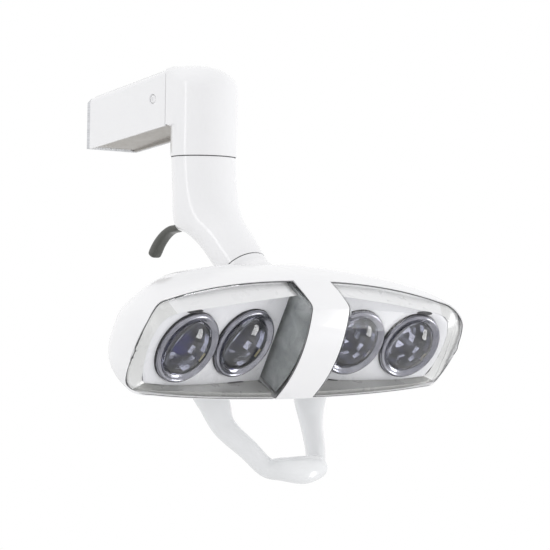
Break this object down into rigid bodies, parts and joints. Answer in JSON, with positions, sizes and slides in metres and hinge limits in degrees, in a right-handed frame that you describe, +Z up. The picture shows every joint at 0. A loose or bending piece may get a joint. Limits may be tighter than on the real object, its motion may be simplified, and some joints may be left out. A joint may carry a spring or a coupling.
{
  "type": "dental operating light",
  "caption": "Dental operating light head with lenses behind clear covers, loop handle, knuckle, curved neck and elbow on the end of a sprung arm.",
  "frame": {"origin": "centre of the plumb end face of the arm", "axes": "+Y out of the arm's end face towards its base, +Z up, X across the lamp with the lenses facing -Y"},
  "size_m": [0.2922, 0.2534, 0.2918],
  "materials": {
    "white_housing": "high gloss white",
    "arm_underside": "satin warm grey",
    "aluminium": "plain",
    "steel": "turned",
    "bronze": "plain bearing bronze",
    "lever_grey": "satin grey-green",
    "clear_cover": "clear polished cover",
    "trim_white": "satin white",
    "bezel_dark": "dark satin",
    "lens_glass": "polished dome",
    "reflector": "dark mirror",
    "board": "circuit board",
    "led": "light source on its round board",
    "handle_white": "high gloss white"
  },
  "bodies": {
    "arm": {"arm_upper_cover": "white_housing", "arm_lower_cover": "arm_underside", "arm_beam": "aluminium", "cover_screw_left": "white_housing", "cover_screw_right": "white_housing", "lift_pin": "steel", "arm_end_plate": "aluminium"},
    "rod": {"levelling_rod": "steel"},
    "elbow": {"elbow_housing": "white_housing", "elbow_bracket": "aluminium", "lift_bush": "bronze", "rod_pin": "steel", "pan_sleeve": "bronze"},
    "neck": {"neck_shell": "white_housing", "pan_spindle": "steel", "pan_washer": "bronze", "pan_nut": "steel", "swivel_bush": "bronze", "lever_pin": "steel"},
    "lever": {"brake_lever": "lever_grey"},
    "knuckle": {"knuckle_ball": "white_housing", "swivel_spindle": "steel", "swivel_nut": "steel", "tilt_axle": "steel", "tilt_washer_left": "bronze", "tilt_washer_right": "bronze"},
    "head": {"head_shell": "white_housing", "rear_cover": "white_housing", "window_left": "clear_cover", "window_right": "clear_cover", "bezel_left_inner": "bezel_dark", "lens_left_inner": "lens_glass", "reflector_left_inner": "reflector", "led_left_inner": "led", "bezel_left_outer": "bezel_dark", "lens_left_outer": "lens_glass", "reflector_left_outer": "reflector", "led_left_outer": "led", "bezel_right_inner": "bezel_dark", "lens_right_inner": "lens_glass", "reflector_right_inner": "reflector", "led_right_inner": "led", "bezel_right_outer": "bezel_dark", "lens_right_outer": "lens_glass", "reflector_right_outer": "reflector", "led_right_outer": "led", "trim_plate_left": "trim_white", "trim_plate_right": "trim_white", "heat_sink_left": "aluminium", "heat_sink_right": "aluminium", "tilt_yoke": "steel", "driver_board": "board", "handle": "handle_white", "handle_screw_left": "steel", "handle_screw_right": "steel"}
  },
  "joints": [
    {"name": "elbow_lift", "type": "hinge", "parent": "arm", "child": "elbow", "pos_m": [0, -0.098, 0.031], "axis": [1, 0, 0], "range_deg": [-15, 0]},
    {"name": "rod_slide", "type": "slide", "parent": "arm", "child": "rod", "axis": [0, -0.9894, 0.1454], "range_m": [0, 0.0068]},
    {"name": "neck_pan", "type": "hinge", "parent": "elbow", "child": "neck", "pos_m": [0, -0.1142, -0.0285], "axis": [0, 0, 1], "range_deg": [-150, 150]},
    {"name": "head_swivel", "type": "hinge", "parent": "neck", "child": "knuckle", "pos_m": [0, -0.1726, -0.1218], "axis": [0, 0.6561, 0.7547], "range_deg": [-45, 45]},
    {"name": "head_tilt", "type": "hinge", "parent": "knuckle", "child": "head", "pos_m": [0, -0.1726, -0.1218], "axis": [1, 0, 0], "range_deg": [-30, 30]},
    {"name": "lever_squeeze", "type": "hinge", "parent": "neck", "child": "lever", "pos_m": [0, -0.0995, -0.071], "axis": [1, 0, 0], "range_deg": [0, 8], "stiffness_Nm_per_rad": 0.6, "springref_deg": -5.73}
  ],
  "couplings": [
    {"joint": "rod_slide", "follows": "elbow_lift", "m_per_rad": -0.0248}
  ]
}
